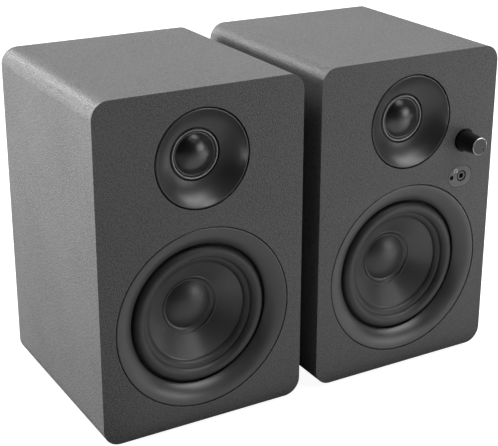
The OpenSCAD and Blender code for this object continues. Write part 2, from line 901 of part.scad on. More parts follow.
module circuit_board() {
    capacitor_r = 6.5;
    capacitor_l = 20;
    fin = [2, 16, 26];
    fin_pitch = 5;
    sink_t = 3;
    chip = [14, 2.5, 14];
    plug = [9, 9, 14];
    color("#2f5233") {
        box_at(0, board_y, board_z, [board_w, board_t, board_h]);
        for (x = [-1, 1], z = standoff_z)
            bar(x * standoff_x, z, standoff_r, board_y + board_t - eps, cab_d - board_y - board_t + eps);
        for (x = [-28, -12])
            bar(x, board_z + 14, capacitor_r, board_y - capacitor_l, capacitor_l + eps);
        for (i = [0:6])
            box_at(4 + i * fin_pitch, board_y - fin[1], board_z + 12, fin + [0, eps, 0]);
        box_at(19, board_y - sink_t, board_z + 12, [34, sink_t + eps, fin[2]]);
        box_at(-16, board_y - chip[1], board_z - 12, chip + [0, eps, 0]);
        for (x = [6, 20])
            box_at(x, board_y - plug[1], board_z - 14, plug + [0, eps, 0]);
    }
}

module power_transformer() {
    core = [44, 22, 36];
    winding = [28, 36, 27];
    strap = [62, 18, 1.5];
    strap_hole_r = 2.1;
    strap_hole_x = 27;
    color("#8a8275")
    translate([0, 66 + winding[1] / 2, wall_t]) {
        box_at(0, -core[1] / 2, core[2] / 2 + strap[2] - eps, core);
        box_at(0, -winding[1] / 2, core[2] / 2, winding);
        difference() {
            box_at(0, -strap[1] / 2, strap[2] / 2, strap);
            for (x = [-1, 1])
                translate([x * strap_hole_x, 0, -over]) cylinder(h = strap[2] + 2 * over, r = strap_hole_r);
        }
    }
}

// ---- Nodes ----

module left_screws() {
    color("#0f0f10") {
        at_woofer_screws() screw();
        at_terminal_screws(left_terminal, cab_d) screw();
    }
}

module right_screws() {
    color("#0f0f10") {
        at_woofer_screws() screw();
        at_panel_screws() screw();
        at_terminal_screws(right_terminal, cab_d + plate_t) screw();
    }
}

at_side(-1) cabinet_shell();  // left_cabinet_shell
at_side(-1) front_baffle();  // left_front_baffle
at_side(-1) left_rear_panel();
at_side(-1) rubber_feet();  // left_rubber_feet
at_side(-1) bass_port();  // left_bass_port
at_side(-1) tweeter_waveguide();  // left_tweeter_waveguide
at_side(-1) tweeter_ring();  // left_tweeter_ring
at_side(-1) tweeter_diaphragm();  // left_tweeter_diaphragm
at_side(-1) tweeter_magnet();  // left_tweeter_magnet
at_side(-1) woofer_trim_ring();  // left_woofer_trim_ring
at_side(-1) woofer_basket();  // left_woofer_basket
at_side(-1) woofer_surround();  // left_woofer_surround
at_side(-1) woofer_cone();  // left_woofer_cone
at_side(-1) woofer_dust_cap();  // left_woofer_dust_cap
at_side(-1) woofer_voice_coil();  // left_woofer_voice_coil
at_side(-1) woofer_spider();  // left_woofer_spider
at_side(-1) woofer_top_plate();  // left_woofer_top_plate
at_side(-1) woofer_magnet();  // left_woofer_magnet
at_side(-1) woofer_pole_piece();  // left_woofer_pole_piece
at_side(-1) left_screws();
at_side(-1) terminal_housing(left_terminal, cab_d);  // left_terminal_housing
at_side(-1) color("#a01818") terminal_lever(left_terminal, cab_d, -1);  // left_terminal_lever_red
at_side(-1) color("#111111") terminal_lever(left_terminal, cab_d, 1);  // left_terminal_lever_black
at_side(-1) left_crossover_board();
at_side(1) cabinet_shell();  // right_cabinet_shell
at_side(1) right_front_baffle();
at_side(1) right_rear_panel();
at_side(1) rubber_feet();  // right_rubber_feet
at_side(1) bass_port();  // right_bass_port
at_side(1) tweeter_waveguide();  // right_tweeter_waveguide
at_side(1) tweeter_ring();  // right_tweeter_ring
at_side(1) tweeter_diaphragm();  // right_tweeter_diaphragm
at_side(1) tweeter_magnet();  // right_tweeter_magnet
at_side(1) woofer_trim_ring();  // right_woofer_trim_ring
at_side(1) woofer_basket();  // right_woofer_basket
at_side(1) woofer_surround();  // right_woofer_surround
at_side(1) woofer_cone();  // right_woofer_cone
at_side(1) woofer_dust_cap();  // right_woofer_dust_cap
at_side(1) woofer_voice_coil();  // right_woofer_voice_coil
at_side(1) woofer_spider();  // right_woofer_spider
at_side(1) woofer_top_plate();  // right_woofer_top_plate
at_side(1) woofer_magnet();  // right_woofer_magnet
at_side(1) woofer_pole_piece();  // right_woofer_pole_piece
at_side(1) right_screws();
at_side(1) terminal_housing(right_terminal, cab_d + plate_t);  // right_terminal_housing
at_side(1) color("#a01818") terminal_lever(right_terminal, cab_d + plate_t, -1);  // right_terminal_lever_red
at_side(1) color("#111111") terminal_lever(right_terminal, cab_d + plate_t, 1);  // right_terminal_lever_black
at_side(1) volume_knob();
at_side(1) volume_shaft();
at_side(1) volume_pot();
at_side(1) control_plate();
at_side(1) headphone_jack();
at_side(1) led_lens();
at_side(1) amp_panel();
at_side(1) circuit_board();
at_side(1) power_transformer();
at_side(1) rca_jacks();
at_side(1) power_switch_housing();
at_side(1) power_rocker();
at_side(1) power_inlet();
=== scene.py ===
"""The looks of a pair of powered desktop speakers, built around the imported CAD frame.

Metres, +Z up, the speakers face -Y. The frame holds every rigid part. This script gives each of them its
material, makes the soft and fine pieces (rubber surrounds, spiders, glue beads, insulators, a printed mark),
and sets the light and the camera.
"""

import sys
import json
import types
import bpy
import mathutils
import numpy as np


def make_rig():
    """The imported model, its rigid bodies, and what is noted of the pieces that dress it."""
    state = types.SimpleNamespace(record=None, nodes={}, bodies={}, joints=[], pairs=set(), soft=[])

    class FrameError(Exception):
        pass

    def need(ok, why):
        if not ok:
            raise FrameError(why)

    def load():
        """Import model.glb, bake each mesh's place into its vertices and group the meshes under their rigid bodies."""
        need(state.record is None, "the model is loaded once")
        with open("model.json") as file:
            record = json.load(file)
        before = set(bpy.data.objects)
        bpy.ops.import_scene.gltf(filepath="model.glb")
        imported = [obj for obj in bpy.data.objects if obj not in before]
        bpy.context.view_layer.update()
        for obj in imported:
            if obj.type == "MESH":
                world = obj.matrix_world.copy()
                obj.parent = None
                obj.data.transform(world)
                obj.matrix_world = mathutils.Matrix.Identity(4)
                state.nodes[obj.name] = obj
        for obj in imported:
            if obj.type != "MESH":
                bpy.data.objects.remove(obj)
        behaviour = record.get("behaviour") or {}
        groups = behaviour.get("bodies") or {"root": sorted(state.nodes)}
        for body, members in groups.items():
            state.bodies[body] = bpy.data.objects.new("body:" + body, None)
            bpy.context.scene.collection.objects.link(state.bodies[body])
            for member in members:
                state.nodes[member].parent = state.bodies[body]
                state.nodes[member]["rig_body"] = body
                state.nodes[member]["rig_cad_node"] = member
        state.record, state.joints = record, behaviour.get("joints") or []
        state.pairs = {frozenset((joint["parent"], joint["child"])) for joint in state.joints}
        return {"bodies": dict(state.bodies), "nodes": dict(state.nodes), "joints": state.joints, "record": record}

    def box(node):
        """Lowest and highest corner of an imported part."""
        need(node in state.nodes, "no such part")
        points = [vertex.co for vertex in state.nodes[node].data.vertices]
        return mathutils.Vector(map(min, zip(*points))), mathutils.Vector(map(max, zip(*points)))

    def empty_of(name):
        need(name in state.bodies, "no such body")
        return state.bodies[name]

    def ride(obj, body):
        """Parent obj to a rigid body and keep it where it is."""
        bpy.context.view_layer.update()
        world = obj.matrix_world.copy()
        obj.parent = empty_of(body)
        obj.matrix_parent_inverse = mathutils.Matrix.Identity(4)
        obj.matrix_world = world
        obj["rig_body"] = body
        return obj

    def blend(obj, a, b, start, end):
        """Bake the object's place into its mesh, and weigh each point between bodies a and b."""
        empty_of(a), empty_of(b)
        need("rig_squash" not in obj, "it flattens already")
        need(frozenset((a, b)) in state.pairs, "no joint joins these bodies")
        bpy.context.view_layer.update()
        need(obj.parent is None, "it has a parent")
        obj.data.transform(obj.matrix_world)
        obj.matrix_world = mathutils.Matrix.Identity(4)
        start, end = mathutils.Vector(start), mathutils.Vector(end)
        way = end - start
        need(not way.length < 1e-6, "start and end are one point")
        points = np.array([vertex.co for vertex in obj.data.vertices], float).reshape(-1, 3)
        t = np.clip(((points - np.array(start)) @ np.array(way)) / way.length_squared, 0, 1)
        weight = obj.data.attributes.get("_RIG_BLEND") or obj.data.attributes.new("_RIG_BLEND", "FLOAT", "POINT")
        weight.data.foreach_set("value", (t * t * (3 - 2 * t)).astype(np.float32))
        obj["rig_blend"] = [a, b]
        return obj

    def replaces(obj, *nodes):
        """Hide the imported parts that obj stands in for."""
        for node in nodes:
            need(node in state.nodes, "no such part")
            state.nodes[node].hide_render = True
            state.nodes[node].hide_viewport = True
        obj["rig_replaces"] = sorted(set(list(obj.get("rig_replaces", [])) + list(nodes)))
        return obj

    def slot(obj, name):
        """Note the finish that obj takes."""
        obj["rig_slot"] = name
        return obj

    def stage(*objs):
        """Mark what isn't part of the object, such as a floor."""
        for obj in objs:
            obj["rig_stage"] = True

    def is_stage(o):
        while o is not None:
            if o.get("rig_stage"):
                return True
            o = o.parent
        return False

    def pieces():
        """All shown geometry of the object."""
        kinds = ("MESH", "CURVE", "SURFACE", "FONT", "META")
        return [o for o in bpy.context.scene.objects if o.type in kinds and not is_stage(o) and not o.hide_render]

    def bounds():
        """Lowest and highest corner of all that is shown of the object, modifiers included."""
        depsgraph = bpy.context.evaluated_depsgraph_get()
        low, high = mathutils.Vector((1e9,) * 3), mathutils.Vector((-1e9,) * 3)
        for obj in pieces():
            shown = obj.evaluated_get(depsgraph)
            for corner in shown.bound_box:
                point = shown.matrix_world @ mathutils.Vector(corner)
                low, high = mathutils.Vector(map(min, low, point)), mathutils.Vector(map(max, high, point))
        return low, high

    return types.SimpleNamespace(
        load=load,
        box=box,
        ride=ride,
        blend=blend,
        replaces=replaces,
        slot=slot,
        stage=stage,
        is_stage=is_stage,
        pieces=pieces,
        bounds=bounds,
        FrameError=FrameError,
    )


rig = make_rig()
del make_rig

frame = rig.load()

import json
import math

import bmesh
import bpy
from mathutils import Matrix, Vector

cad_low, cad_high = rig.bounds()
SIDES = ("left", "right")
MM = 0.001

# ---- Camera, given from the left cabinet's lower left front corner ----

CAMERA_AIM = (0.1209, 0.0, 0.1412)
CAMERA_AZIMUTH = -31.65
CAMERA_ELEVATION = 19.96
CAMERA_ROLL = 0.73
CAMERA_DISTANCE = 0.7343
CAMERA_LENS = 89.29
CAMERA_SHIFT = (-0.0703, -0.0720)


def direction(azimuth, elevation):
    """Unit vector from the object to a place at that azimuth and elevation. Azimuth 0 is in front of it."""
    a, e = math.radians(azimuth), math.radians(elevation)
    return Vector((math.sin(a) * math.cos(e), -math.cos(a) * math.cos(e), math.sin(e)))


def aimed(obj, place, target, roll=0.0):
    """Puts a camera or light at place, looking at target, turned by roll degrees about its own axis."""
    turn = (target - place).to_track_quat("-Z", "Y").to_matrix().to_4x4()
    obj.matrix_world = Matrix.Translation(place) @ turn @ Matrix.Rotation(math.radians(roll), 4, "Z")
    bpy.context.scene.collection.objects.link(obj)
    return obj


def make_camera():
    data = bpy.data.cameras.new("camera")
    data.sensor_width = 36
    data.lens = CAMERA_LENS
    data.shift_x, data.shift_y = CAMERA_SHIFT
    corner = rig.box("left_front_baffle")[0]
    target = corner + Vector(CAMERA_AIM)
    place = target + direction(CAMERA_AZIMUTH, CAMERA_ELEVATION) * CAMERA_DISTANCE
    camera = aimed(bpy.data.objects.new("camera", data), place, target, CAMERA_ROLL)
    bpy.context.scene.camera = camera


# ---- Light and floor ----

# Name: azimuth and elevation in degrees, width and height in metres, power in watts
SOFTBOXES = {
    "right_strip": (100, 38, 0.5, 1.4, 57),
    "high_right_box": (74, 44, 0.7, 1.0, 11),
    "overhead_box": (70, 76, 0.9, 0.75, 16),
    "low_right_box": (38, 9, 0.9, 0.7, 7.5),
    "key_box": (44, 54, 1.3, 0.8, 13.5),
    "left_strip": (-116, 8, 1.9, 0.75, 94),
    "back_left_box": (-157, 29, 0.5, 0.7, 37),
    "back_box": (160, 34, 1.5, 0.9, 9),
}
SOFTBOX_DISTANCE = 2.4
# Name: x, y and side in metres, power in watts
FLOOR_CARDS = {
    "right_card": (0.75, 0.0, 0.55, 3.5),
    "front_card": (0.1, -0.3, 0.45, 0.25),
    "front_right_card": (0.42, -0.46, 0.5, 0.95),
    "left_card": (-1.0, 0.0, 0.7, 12),
}
CARD_LIFT = 2 * MM
WORLD_LIGHT = 0.005
FLOOR_SIZE = 14.0
FLOOR_SEEN = 0.3  # how pale the floor is to the camera
FLOOR_GLOW = 0.94  # its glow to the camera
FLOOR_BOUNCE = 0.15  # how pale it is to everything else


def area_light(name, width, height, power):
    data = bpy.data.lights.new(name, "AREA")
    data.shape = "RECTANGLE"
    data.size = width
    data.size_y = height
    data.energy = power
    light = bpy.data.objects.new(name, data)
    light.visible_camera = False
    return light


def softbox(name, azimuth, elevation, width, height, power):
    """A soft studio light that faces the middle of the object."""
    centre = (cad_low + cad_high) / 2
    place = centre + direction(azimuth, elevation) * SOFTBOX_DISTANCE
    aimed(area_light(name, width, height, power), place, centre)


def floor_card(name, x, y, side, power):
    """Light that comes up from one place on the floor, as from a white card lying there."""
    place = Vector((x, y, CARD_LIFT))
    aimed(area_light(name, side, side, power), place, place + Vector((0, 0, 1)))


def make_world():
    """A faint glow from all around. The camera itself sees plain white."""
    world = bpy.data.worlds.new("studio")
    world.use_nodes = True
    tree = world.node_tree
    tree.nodes.clear()
    glow = tree.nodes.new("ShaderNodeBackground")
    glow.inputs["Color"].default_value = (1, 1, 1, 1)
    glow.inputs["Strength"].default_value = WORLD_LIGHT
    seen = tree.nodes.new("ShaderNodeBackground")
    seen.inputs["Color"].default_value = (1, 1, 1, 1)
    path = tree.nodes.new("ShaderNodeLightPath")
    mix = tree.nodes.new("ShaderNodeMixShader")
    out = tree.nodes.new("ShaderNodeOutputWorld")
    tree.links.new(path.outputs["Is Camera Ray"], mix.inputs[0])
    tree.links.new(glow.outputs[0], mix.inputs[1])
    tree.links.new(seen.outputs[0], mix.inputs[2])
    tree.links.new(mix.outputs[0], out.inputs["Surface"])
    bpy.context.scene.world = world


def make_light():
    """The studio's lights. Colours are shown as they are, with no film look."""
    settings = bpy.context.scene.view_settings
    settings.view_transform = "Standard"
    settings.look = "None"
    make_world()
    for name, values in SOFTBOXES.items():
        softbox(name, *values)
    for name, values in FLOOR_CARDS.items():
        floor_card(name, *values)


def make_floor():
    """A plain floor that looks almost white and throws little light back."""
    mesh = bpy.data.meshes.new("floor")
    half = FLOOR_SIZE / 2
    corners = [(-half, -half, 0), (half, -half, 0), (half, half, 0), (-half, half, 0)]
    mesh.from_pydata(corners, [], [(0, 1, 2, 3)])
    floor = bpy.data.objects.new("floor", mesh)
    bpy.context.scene.collection.objects.link(floor)
    look = Look("floor", colour=(FLOOR_SEEN,) * 3, rough=0.9, specular=0.0)
    seen = look.add("ShaderNodeLightPath").outputs["Is Camera Ray"]
    look.link(look.remap(seen, 0, 1, FLOOR_BOUNCE, FLOOR_SEEN), look.shader.inputs["Base Color"])
    look.set("Emission Color", (1, 1, 1, 1))
    look.link(look.math("MULTIPLY", seen, FLOOR_GLOW), look.shader.inputs["Emission Strength"])
    mesh.materials.append(look.material)
    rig.stage(floor)


# ---- Material kit ----


class Look:
    """A node material with one Principled shader, and short calls for the nodes in front of it."""

    def __init__(self, name, colour, rough, metal=0.0, specular=0.5, coat=0.0, coat_rough=0.1, sheen=0.0):
        self.material = bpy.data.materials.new(name)
        self.material.use_nodes = True
        self.tree = self.material.node_tree
        self.tree.nodes.clear()
        out = self.add("ShaderNodeOutputMaterial")
        self.shader = self.add("ShaderNodeBsdfPrincipled")
        self.link(self.shader.outputs[0], out.inputs["Surface"])
        self.colour = colour
        self.rough = rough
        self.normal = None
        self.set("Base Color", (*colour, 1))
        self.set("Roughness", rough)
        self.set("Metallic", metal)
        self.set("Specular IOR Level", specular)
        self.set("Coat Weight", coat)
        self.set("Coat Roughness", coat_rough)
        self.set("Sheen Weight", sheen)
        self.place = self.add("ShaderNodeTexCoord").outputs["Object"]

    def add(self, kind, **settings):
        node = self.tree.nodes.new(kind)
        for key, value in settings.items():
            setattr(node, key, value)
        return node

    def set(self, socket, value):
        self.shader.inputs[socket].default_value = value

    def link(self, source, target):
        """Links a socket, or sets a plain value."""
        if hasattr(source, "is_output"):
            self.tree.links.new(source, target)
        else:
            target.default_value = source

    def math(self, operation, *values):
        node = self.add("ShaderNodeMath", operation=operation)
        for value, socket in zip(values, node.inputs):
            self.link(value, socket)
        return node.outputs[0]

    def remap(self, value, low, high, to_low, to_high):
        node = self.add("ShaderNodeMapRange")
        for given, socket in zip((value, low, high, to_low, to_high), node.inputs):
            self.link(given, socket)
        return node.outputs[0]

    def stretched(self, scale):
        """The object's own coordinates, stretched by a scale for each axis."""
        node = self.add("ShaderNodeMapping")
        self.link(self.place, node.inputs["Vector"])
        node.inputs["Scale"].default_value = scale
        return node.outputs[0]

    def noise(self, size, detail=2.0, vector=None):
        """Soft noise from 0 to 1, with features of that size in metres."""
        node = self.add("ShaderNodeTexNoise")
        self.link(vector or self.place, node.inputs["Vector"])
        node.inputs["Scale"].default_value = 1 / size
        node.inputs["Detail"].default_value = detail
        return node.outputs[0]

    def cells(self, size, feature="SMOOTH_F1", vector=None):
        """Rounded pebbles of that size in metres: the distance from each one's middle."""
        node = self.add("ShaderNodeTexVoronoi", feature=feature)
        self.link(vector or self.place, node.inputs["Vector"])
        node.inputs["Scale"].default_value = 1 / size
        return node.outputs["Distance"]

    def split(self, vector=None):
        node = self.add("ShaderNodeSeparateXYZ")
        self.link(vector or self.place, node.inputs[0])
        return node.outputs

    def polar(self, axis):
        """Distance from an axis along Y through (x, z), and angle about it in radians."""
        x, _, z = self.split()
        dx = self.math("SUBTRACT", x, axis[0])
        dz = self.math("SUBTRACT", z, axis[1])
        squares = self.math("ADD", self.math("MULTIPLY", dx, dx), self.math("MULTIPLY", dz, dz))
        radius = self.math("SQRT", squares)
        return radius, self.math("ARCTAN2", dz, dx)

    def waves(self, value, length):
        """A sine wave from -1 to 1 of that length in metres."""
        return self.math("SINE", self.math("MULTIPLY", value, 2 * math.pi / length))

    def weave(self, length):
        """Threads that cross along x and z."""
        x, _, z = self.split()
        return self.math("MULTIPLY", self.waves(x, length), self.waves(z, length))

    def mixed(self, share, first, second):
        """A colour between two colours, each a socket or three numbers."""
        node = self.add("ShaderNodeMix", data_type="RGBA")
        self.link(share, node.inputs[0])
        for given, socket in ((first, node.inputs[6]), (second, node.inputs[7])):
            self.link(given if hasattr(given, "is_output") else (*given, 1), socket)
        return node.outputs[2]

    def tint(self, share, other):
        """Turns the colour so far towards another one by share, a socket from 0 to 1."""
        self.colour = self.mixed(share, self.colour, other)
        self.link(self.colour, self.shader.inputs["Base Color"])

    def roughen(self, share, amount):
        """Adds amount times share, a socket from 0 to 1, to the roughness."""
        self.rough = self.math("ADD", self.rough, self.math("MULTIPLY", share, amount))
        self.link(self.rough, self.shader.inputs["Roughness"])

    def bump(self, height, depth, strength=1.0):
        """Raises the surface by depth metres where height is 1."""
        node = self.add("ShaderNodeBump")
        node.inputs["Distance"].default_value = depth
        node.inputs["Strength"].default_value = strength
        self.link(height, node.inputs["Height"])
        if self.normal is not None:
            self.link(self.normal, node.inputs["Normal"])
        self.normal = node.outputs[0]
        self.link(self.normal, self.shader.inputs["Normal"])

    def edges(self, radius):
        """1 along sharp edges, fading out over radius metres, 0 elsewhere."""
        bevel = self.add("ShaderNodeBevel", samples=6)
        bevel.inputs["Radius"].default_value = radius
        true_normal = self.add("ShaderNodeNewGeometry").outputs["Normal"]
        dot = self.add("ShaderNodeVectorMath", operation="DOT_PRODUCT")
        self.link(bevel.outputs[0], dot.inputs[0])
        self.link(true_normal, dot.inputs[1])
        return self.remap(dot.outputs["Value"], 1.0, 0.85, 0, 1)

    def soften(self, radius):
        """Lets light see sharp edges as rounded ones of that radius."""
        bevel = self.add("ShaderNodeBevel", samples=6)
        bevel.inputs["Radius"].default_value = radius
        self.normal = bevel.outputs[0]
        self.link(self.normal, self.shader.inputs["Normal"])


# ---- Materials ----
# Each slot of the record has a function of the same name. Its axis is where a turned part's axis passes, as
# (x, z), or None for the others. print_white and insulator are for pieces that are made here.


def scaled(colour, factor, more=0.0):
    return tuple(min(1.0, channel * factor + more) for channel in colour)


def cabinet_vinyl(axis):
    """Black leathercloth film on MDF: rounded pebbles with painted shade in their creases, painted glints, edges worn
    a little.
    """
    look = Look("cabinet_vinyl", (0.1, 0.1, 0.101), 0.42, specular=0.5)
    look.soften(0.35 * MM)
    pebbles = look.cells(1.0 * MM, "F1")
    creases = look.remap(pebbles, 0.2, 0.7, 0, 1)
    pores = look.noise(0.5 * MM, 3)
    clouds = look.noise(45 * MM, 4)
    # Painted shade: the creases between the pebbles are darkened, as where shade falls.
    look.tint(look.math("MULTIPLY", creases, 0.9), (0.042, 0.042, 0.043))
    # Painted glints: specks on the raised fine grain are made paler, as sparkle of light.
    look.tint(look.remap(pores, 0.45, 0.7, 0, 0.65), (0.22, 0.22, 0.222))
    look.tint(look.remap(clouds, 0.35, 0.7, 0, 0.2), (0.14, 0.14, 0.142))
    look.tint(look.math("MULTIPLY", look.edges(0.6 * MM), 0.35), (0.24, 0.24, 0.245))
    look.roughen(look.math("SUBTRACT", clouds, 0.5), 0.14)
    look.roughen(creases, 0.14)
    look.bump(look.remap(pebbles, 0.15, 0.7, 1, 0), 0.09 * MM)
    look.bump(pores, 0.09 * MM)
    return look


def moulded(name, colour, rough, specular=0.5, grain=0.012):
    """Moulded plastic: faint flow marks, a fine orange-peel skin and a painted highlight along its edges."""
    look = Look(name, colour, rough, specular=specular)
    look.soften(0.2 * MM)
    flow = look.noise(14 * MM, 3)
    look.tint(look.remap(flow, 0.35, 0.7, 0, 0.3), scaled(colour, 1.5, 0.006))
    # Painted highlight: sharp edges are made paler, as a bright lip catching the light.
    look.tint(look.math("MULTIPLY", look.edges(0.35 * MM), 0.5), scaled(colour, 2.5, 0.05))
    look.roughen(look.math("SUBTRACT", flow, 0.5), 0.12)
    look.bump(look.noise(0.35 * MM, 2), grain * MM)
    return look


def foot_rubber(axis):
    look = moulded("foot_rubber", (0.02, 0.02, 0.02), 0.8, 0.3, 0.03)
    look.tint(look.remap(look.noise(2.5 * MM, 4), 0.5, 0.75, 0, 0.35), (0.09, 0.088, 0.085))
    return look


def port_plastic(axis):
    return moulded("port_plastic", (0.022, 0.022, 0.023), 0.5, 0.45, 0.02)


def guide_plastic(axis):
    return moulded("guide_plastic", (0.035, 0.035, 0.036), 0.39, specular=0.9)


def trim_plastic(axis):
    return moulded("trim_plastic", (0.05, 0.05, 0.051), 0.37, specular=0.9)


def ring_grey(axis):
    look = moulded("ring_grey", (0.42, 0.42, 0.424), 0.34)
    look.bump(look.noise(0.6 * MM, 2), 0.01 * MM)
    return look


def dome_fabric(axis):
    """Coated silk: a fine weave that shows through a soft varnish."""
    look = Look("dome_fabric", (0.008, 0.008, 0.009), 0.3, specular=1.0, coat=0.5, coat_rough=0.25)
    weave = look.weave(0.42 * MM)
    blotches = look.noise(4 * MM, 3)
    look.tint(look.remap(weave, -1, 1, 0, 0.3), (0.018, 0.018, 0.019))
    look.tint(look.remap(blotches, 0.4, 0.7, 0, 0.3), (0.018, 0.018, 0.019))
    look.roughen(look.math("SUBTRACT", blotches, 0.5), 0.12)
    look.bump(weave, 0.008 * MM)
    return look


def basket_paint(axis):
    """Black enamel on pressed steel, rubbed through a little at its edges."""
    look = Look("basket_paint", (0.016, 0.016, 0.017), 0.42, metal=0.2)
    look.soften(0.25 * MM)
    peel = look.noise(0.7 * MM, 3)
    look.tint(look.math("MULTIPLY", look.edges(0.4 * MM), 0.5), (0.22, 0.22, 0.22))
    look.tint(look.remap(look.noise(9 * MM, 3), 0.4, 0.7, 0, 0.3), (0.035, 0.035, 0.037))
    look.roughen(look.math("SUBTRACT", peel, 0.5), 0.2)
    look.bump(peel, 0.02 * MM)
    return look


def surround_rubber(axis):
    """Butyl rubber: smooth, with faint moulding rings and a bloom of dust."""
    look = Look("surround_rubber", (0.032, 0.032, 0.033), 0.48, specular=0.6, sheen=0.06)
    radius, _ = look.polar(axis)
    bloom = look.noise(7 * MM, 4)
    look.tint(look.remap(bloom, 0.4, 0.75, 0, 0.35), (0.06, 0.06, 0.061))
    look.roughen(look.math("SUBTRACT", bloom, 0.5), 0.18)
    look.bump(look.waves(radius, 0.7 * MM), 0.006 * MM)
    look.bump(look.noise(0.3 * MM, 2), 0.008 * MM)
    return look


def cone_plastic(axis):
    """Moulded polypropylene with very fine turned rings and a soft sheen."""
    look = Look("cone_plastic", (0.068, 0.068, 0.069), 0.35, specular=0.9)
    radius, _ = look.polar(axis)
    fibres = look.noise(1.1 * MM, 3)
    clouds = look.noise(12 * MM, 3)
    look.tint(look.remap(fibres, 0.4, 0.75, 0, 0.3), (0.12, 0.12, 0.122))
    look.tint(look.remap(clouds, 0.4, 0.7, 0, 0.2), (0.055, 0.055, 0.056))
    look.roughen(look.math("SUBTRACT", clouds, 0.5), 0.1)
    look.bump(look.waves(radius, 0.55 * MM), 0.004 * MM)
    look.bump(fibres, 0.01 * MM)
    return look


def cap_plastic(axis):
    look = moulded("cap_plastic", (0.035, 0.035, 0.036), 0.38, specular=0.8)
    look.bump(look.noise(1.2 * MM, 3), 0.008 * MM)
    return look


def coil_copper(axis):
    """Turns of enamelled wire, side by side along the coil, with painted shade in the grooves between them."""
    look = Look("coil_copper", (0.55, 0.2, 0.07), 0.3, metal=0.9, coat=0.4)
    _, y, _ = look.split()
    turns = look.math("ABSOLUTE", look.waves(y, 0.5 * MM))
    # Painted shade: the grooves between the turns are darkened.
    look.tint(look.remap(turns, 0, 0.5, 0.7, 0), (0.12, 0.04, 0.02))
    look.roughen(look.noise(2 * MM, 2), 0.15)
    look.bump(turns, 0.08 * MM)
    return look


def spider_fabric(axis):
    """Cotton weave stiffened with resin."""
    look = Look("spider_fabric", (0.46, 0.3, 0.1), 0.7, specular=0.3, sheen=0.2)
    weave = look.weave(0.9 * MM)
    look.tint(look.remap(weave, -1, 1, 0, 0.6), (0.24, 0.14, 0.04))
    look.tint(look.remap(look.noise(6 * MM, 4), 0.45, 0.7, 0, 0.5), (0.3, 0.17, 0.05))
    look.bump(weave, 0.06 * MM)
    return look


def plated(name, colour, rough):
    """Plated or turned metal: faint tool marks, small stains, brighter edges."""
    look = Look(name, colour, rough, metal=1.0)
    look.soften(0.15 * MM)
    stains = look.noise(5 * MM, 4)
    marks = look.noise(0.5 * MM, 3, look.stretched((1, 0.12, 1)))
    look.tint(look.remap(stains, 0.45, 0.75, 0, 0.35), scaled(colour, 0.6))
    look.tint(look.math("MULTIPLY", look.edges(0.3 * MM), 0.5), scaled(colour, 1.3, 0.1))
    look.roughen(look.math("SUBTRACT", marks, 0.5), 0.25)
    look.bump(marks, 0.006 * MM)
    return look


def motor_steel(axis):
    return plated("motor_steel", (0.5, 0.5, 0.49), 0.35)


def ferrite(axis):
    look = moulded("ferrite", (0.05, 0.05, 0.055), 0.7, 0.4, 0.05)
    look.bump(look.noise(1.5 * MM, 5), 0.05 * MM)
    return look


def screw_black(axis):
    look = plated("screw_black", (0.05, 0.05, 0.052), 0.35)
    look.tint(look.math("MULTIPLY", look.edges(0.3 * MM), 0.4), (0.4, 0.4, 0.4))
    return look


def terminal_plastic(axis):
    return moulded("terminal_plastic", (0.018, 0.018, 0.018), 0.5, 0.5, 0.03)


def lever_red(axis):
    return moulded("lever_red", (0.42, 0.012, 0.015), 0.25)


def lever_black(axis):
    return moulded("lever_black", (0.014, 0.014, 0.014), 0.25)


def board(axis):
    """Green solder mask with copper traces under it."""
    look = Look("board", (0.02, 0.11, 0.035), 0.3, specular=0.5, coat=0.3)
    traces = look.remap(look.cells(4 * MM, "DISTANCE_TO_EDGE"), 0.03, 0.06, 1, 0)
    look.tint(look.math("MULTIPLY", traces, 0.8), (0.06, 0.26, 0.08))
    look.tint(look.remap(look.noise(8 * MM, 3), 0.45, 0.7, 0, 0.4), (0.012, 0.06, 0.02))
    look.roughen(look.noise(3 * MM, 2), 0.1)
    look.bump(traces, 0.03 * MM)
    return look


KNOB_FACE_DEEP = 0.05 * MM
KNOB_CHAMFER_DEEP = 0.45 * MM
KNOB_CHAMFER_R = 5.25 * MM
STREAKS_ACROSS = 14000  # noise cells in a metre of radius
STREAKS_AROUND = 0.6  # noise cells in a radian


def knob_metal(axis):
    """Black anodised sides, a bright turned chamfer and a face brushed in circles."""
    look = Look("knob_metal", (0.008, 0.008, 0.009), 0.24, metal=0.3)
    face_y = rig.box("volume_knob")[0].y
    radius, angle = look.polar(axis)
    _, y, _ = look.split()
    face = look.math("LESS_THAN", y, face_y + KNOB_FACE_DEEP)
    front = look.math("LESS_THAN", y, face_y + KNOB_CHAMFER_DEEP)
    chamfer = look.math("MULTIPLY", front, look.math("GREATER_THAN", radius, KNOB_CHAMFER_R))
    around = look.add("ShaderNodeCombineXYZ")
    look.link(look.math("MULTIPLY", radius, STREAKS_ACROSS), around.inputs[0])
    look.link(look.math("MULTIPLY", angle, STREAKS_AROUND), around.inputs[1])
    streaks = look.noise(1, 2, around.outputs[0])
    anodised = look.noise(3 * MM, 3)
    look.tint(look.remap(anodised, 0.4, 0.7, 0, 0.4), (0.022, 0.022, 0.024))
    look.tint(face, (0.035, 0.035, 0.036))
    look.tint(look.math("MULTIPLY", face, look.remap(streaks, 0.3, 0.7, 0, 0.5)), (0.09, 0.09, 0.092))
    look.tint(chamfer, (0.6, 0.6, 0.61))
    look.roughen(look.math("MULTIPLY", look.math("SUBTRACT", streaks, 0.5), face), 0.3)
    look.roughen(look.math("SUBTRACT", anodised, 0.5), 0.12)
    look.bump(look.math("MULTIPLY", streaks, face), 0.01 * MM)
    return look


def shaft_steel(axis):
    return plated("shaft_steel", (0.55, 0.55, 0.54), 0.3)


def jack_plastic(axis):
    return moulded("jack_plastic", (0.11, 0.11, 0.112), 0.35)


def jack_metal(axis):
    return plated("jack_metal", (0.62, 0.62, 0.61), 0.22)


